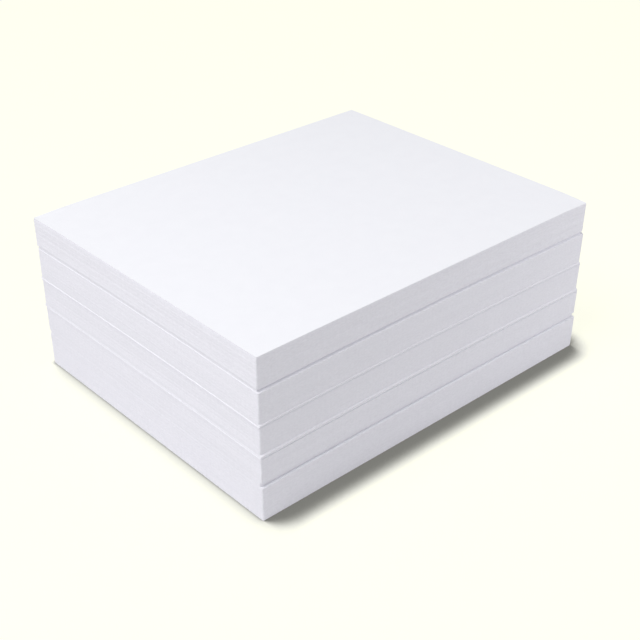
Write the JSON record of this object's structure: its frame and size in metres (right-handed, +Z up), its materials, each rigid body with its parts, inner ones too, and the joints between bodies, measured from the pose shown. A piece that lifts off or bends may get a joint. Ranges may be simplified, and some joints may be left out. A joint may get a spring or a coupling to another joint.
{
  "type": "ream of paper",
  "caption": "Unwrapped block of blank white paper for printing or writing: flat rectangular sheets piled in knife-cut lifts whose edges stand out slightly where they meet.",
  "frame": {"origin": "under the middle of the stack, on the surface that it rests on", "axes": "+Z up through the sheets, +X along their long side, +Y along their short side"},
  "size_m": [0.255, 0.2044, 0.1],
  "materials": {
    "paper": "uncoated, matte, slightly bluish white"
  },
  "bodies": {
    "root": {"bottom_lift": "paper", "lower_lift": "paper", "middle_lift": "paper", "upper_lift": "paper", "top_lift": "paper"}
  },
  "joints": []
}
